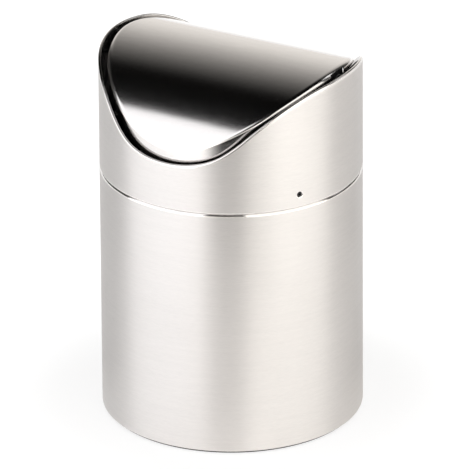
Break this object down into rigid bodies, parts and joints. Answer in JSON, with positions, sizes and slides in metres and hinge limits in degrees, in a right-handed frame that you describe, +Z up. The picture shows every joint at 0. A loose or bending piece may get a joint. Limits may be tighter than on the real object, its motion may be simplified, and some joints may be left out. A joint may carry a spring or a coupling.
{
  "type": "countertop trash can",
  "caption": "Small round steel countertop trash can with a saddle-cut lift-off hood and an arched lid that swings both ways and closes by its weight.",
  "frame": {"origin": "centre of the base, on the surface that the can stands on", "axes": "+Z up along the can's axis, X along the lid's pivot axis, -Y and +Y towards the low sides of the hood's rim"},
  "size_m": [0.12, 0.12, 0.176],
  "materials": {
    "brushed_body": "satin, brushed round the can",
    "brushed_hood": "satin, brushed round the can",
    "lid_steel": "finely brushed, nearly mirror",
    "fastener_steel": "black oxide",
    "bracket_steel": "black oxide",
    "ring_plastic": "fine moulded texture",
    "nylon": "black nylon",
    "foot_rubber": "matt"
  },
  "bodies": {
    "body": {"body_shell": "brushed_body", "body_bottom": "brushed_body", "foot_ring": "foot_rubber"},
    "hood": {"hood_shell": "brushed_hood", "coupling_ring": "ring_plastic", "ring_rivets": "fastener_steel", "pivot_bracket_left": "bracket_steel", "pivot_bracket_right": "bracket_steel", "pivot_nut_left": "fastener_steel", "pivot_nut_right": "fastener_steel", "pivot_washer_left": "fastener_steel", "pivot_washer_right": "fastener_steel", "pivot_screw_left": "fastener_steel", "pivot_screw_right": "fastener_steel"},
    "lid": {"lid_shell": "lid_steel", "lid_ear_left": "bracket_steel", "lid_ear_right": "bracket_steel", "pivot_bush_left": "nylon", "pivot_bush_right": "nylon"}
  },
  "joints": [
    {"name": "hood_lift", "type": "slide", "parent": "body", "child": "hood", "axis": [0, 0, 1], "range_m": [0, 0.1]},
    {"name": "lid_swing", "type": "hinge", "parent": "hood", "child": "lid", "pos_m": [0, 0, 0.17], "axis": [1, 0, 0], "range_deg": [-68, 68]}
  ]
}
